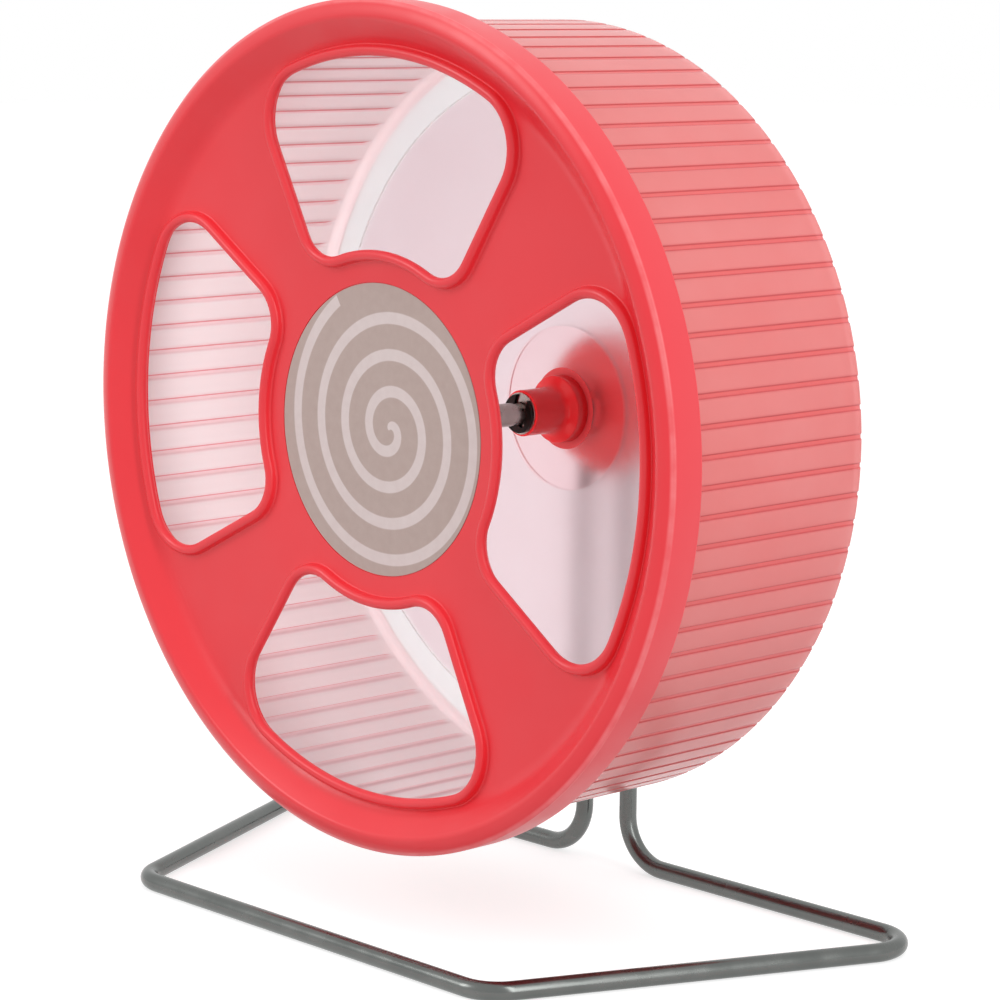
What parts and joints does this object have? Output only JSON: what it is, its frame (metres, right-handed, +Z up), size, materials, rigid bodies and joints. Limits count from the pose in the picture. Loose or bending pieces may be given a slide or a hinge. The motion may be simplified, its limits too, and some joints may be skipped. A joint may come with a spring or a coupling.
{
  "type": "rodent exercise wheel",
  "caption": "Round running drum with a dished front disc and lipped openings, turning freely on a steel axle held by a bent wire floor stand; exercise wheel for small rodents.",
  "frame": {"origin": "on the floor, below the middle of the object's box", "axes": "+Z up, +Y along the axle from the open front disc to the stand's uprights, +X to the right as seen from the front"},
  "size_m": [0.2912, 0.1517, 0.3072],
  "materials": {
    "disc_red": "glossy opaque coral-red moulding",
    "drum_tinted": "translucent red-tinted moulding, smooth outside, fine matt inside",
    "label_taupe": "taupe printed disc with a plain pale spiral",
    "hub_red": "glossy deep red moulding",
    "bush_white": "natural white moulding",
    "washer_steel": "plain stamped washer",
    "clip_steel": "dark spring steel",
    "axle_steel": "turned bar",
    "wire_steel": "bright plated bent wire"
  },
  "bodies": {
    "stand": {"axle_bracket": "hub_red", "bracket_cover": "hub_red", "thrust_washer": "washer_steel", "clip_washer": "washer_steel", "retaining_clip": "clip_steel", "bracket_screws": "clip_steel", "axle": "axle_steel", "stand_frame": "wire_steel"},
    "wheel": {"front_disc": "disc_red", "drum": "drum_tinted", "hub_label": "label_taupe", "hub_sleeve": "hub_red", "hub_lock_ring": "hub_red", "rear_bush": "bush_white", "front_bush": "bush_white"}
  },
  "joints": [
    {"name": "wheel_spin", "type": "hinge", "parent": "stand", "child": "wheel", "pos_m": [0, 0, 0.1672], "axis": [0, 1, 0], "continuous": true}
  ]
}
